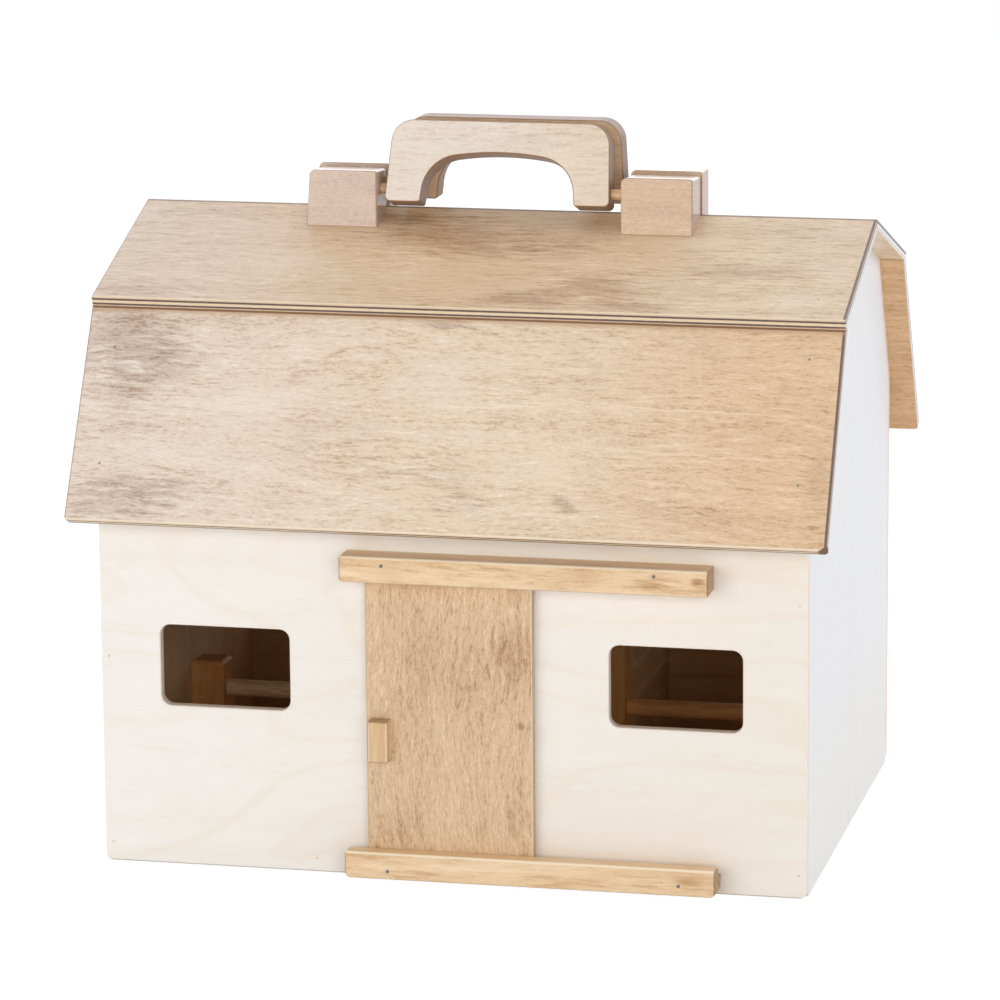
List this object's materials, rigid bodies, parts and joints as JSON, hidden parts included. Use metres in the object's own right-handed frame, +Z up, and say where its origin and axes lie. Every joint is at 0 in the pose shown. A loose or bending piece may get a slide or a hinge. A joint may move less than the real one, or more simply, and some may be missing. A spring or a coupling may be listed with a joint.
{
  "type": "toy barn",
  "caption": "Wooden toy barn with a gambrel roof, split along its ridge to open like a book on brass hinges, with a sliding door, windows, stalls and folding carry handles.",
  "frame": {"origin": "centre of the footprint of the closed barn's bounding box, on the surface that it stands on", "axes": "+X along the ridge, from the hinged gable to the far gable; +Y from the front wall, with the sliding door, to the rear wall; +Z up"},
  "size_m": [0.4366, 0.3544, 0.4111],
  "materials": {
    "birch_ply": "clear matt lacquer",
    "stained_roof_ply": "light brown stain under satin lacquer",
    "stained_door_ply": "light brown stain under satin lacquer",
    "stained_handle_wood": "light brown stain under satin lacquer",
    "honey_pine": "satin lacquer",
    "stall_pine": "satin lacquer",
    "dowel_birch": "bare",
    "hinge_brass": "rolled brass",
    "screw_brass": "turned brass",
    "nail_steel": "dull steel"
  },
  "bodies": {
    "rear_half": {"rear_wall": "birch_ply", "rear_gable_hinge_side": "birch_ply", "rear_gable_far_side": "birch_ply", "rear_floor": "birch_ply", "rear_upper_roof": "stained_roof_ply", "rear_lower_roof": "stained_roof_ply", "rear_handle_block_left": "stained_handle_wood", "rear_handle_block_right": "stained_handle_wood", "rear_handle_pins": "dowel_birch", "rear_hinge_batten": "birch_ply", "rear_hinge_leaf_lower": "hinge_brass", "rear_hinge_leaf_upper": "hinge_brass", "rear_hinge_screws": "screw_brass", "rear_wall_brads": "nail_steel", "rear_roof_brads": "nail_steel", "hinge_pins": "hinge_brass", "stall_post_short_left": "stall_pine", "stall_post_tall_left": "stall_pine", "stall_divider_left": "birch_ply", "stall_rail_lower_left": "dowel_birch", "stall_rail_upper_left": "dowel_birch", "stall_post_short_right": "stall_pine", "stall_post_tall_right": "stall_pine", "stall_divider_right": "birch_ply", "stall_rail_lower_right": "dowel_birch", "stall_rail_upper_right": "dowel_birch"},
    "front_half": {"front_wall": "birch_ply", "front_gable_hinge_side": "birch_ply", "front_gable_far_side": "birch_ply", "front_floor": "birch_ply", "front_upper_roof": "stained_roof_ply", "front_lower_roof": "stained_roof_ply", "front_handle_block_left": "stained_handle_wood", "front_handle_block_right": "stained_handle_wood", "front_handle_pins": "dowel_birch", "front_hinge_batten": "birch_ply", "front_hinge_leaf_lower": "hinge_brass", "front_hinge_leaf_upper": "hinge_brass", "front_hinge_screws": "screw_brass", "front_wall_brads": "nail_steel", "front_roof_brads": "nail_steel", "door_top_rail": "honey_pine", "door_bottom_rail": "honey_pine", "door_rail_nails": "nail_steel"},
    "door": {"sliding_door": "stained_door_ply", "door_pull": "honey_pine"},
    "front_carry_handle": {"front_handle": "stained_handle_wood"},
    "rear_carry_handle": {"rear_handle": "stained_handle_wood"}
  },
  "joints": [
    {"name": "front_half_swing", "type": "hinge", "parent": "rear_half", "child": "front_half", "pos_m": [-0.2157, 0, 0.16], "axis": [0, 0, -1], "range_deg": [0, 180]},
    {"name": "door_slide", "type": "slide", "parent": "front_half", "child": "door", "axis": [1, 0, 0], "range_m": [0, 0.095]},
    {"name": "front_handle_fold", "type": "hinge", "parent": "front_half", "child": "front_carry_handle", "pos_m": [0.0011, -0.014, 0.3713], "axis": [1, 0, 0], "range_deg": [0, 136.5]},
    {"name": "rear_handle_fold", "type": "hinge", "parent": "rear_half", "child": "rear_carry_handle", "pos_m": [0.0041, 0.014, 0.3713], "axis": [-1, 0, 0], "range_deg": [0, 118.5]}
  ]
}
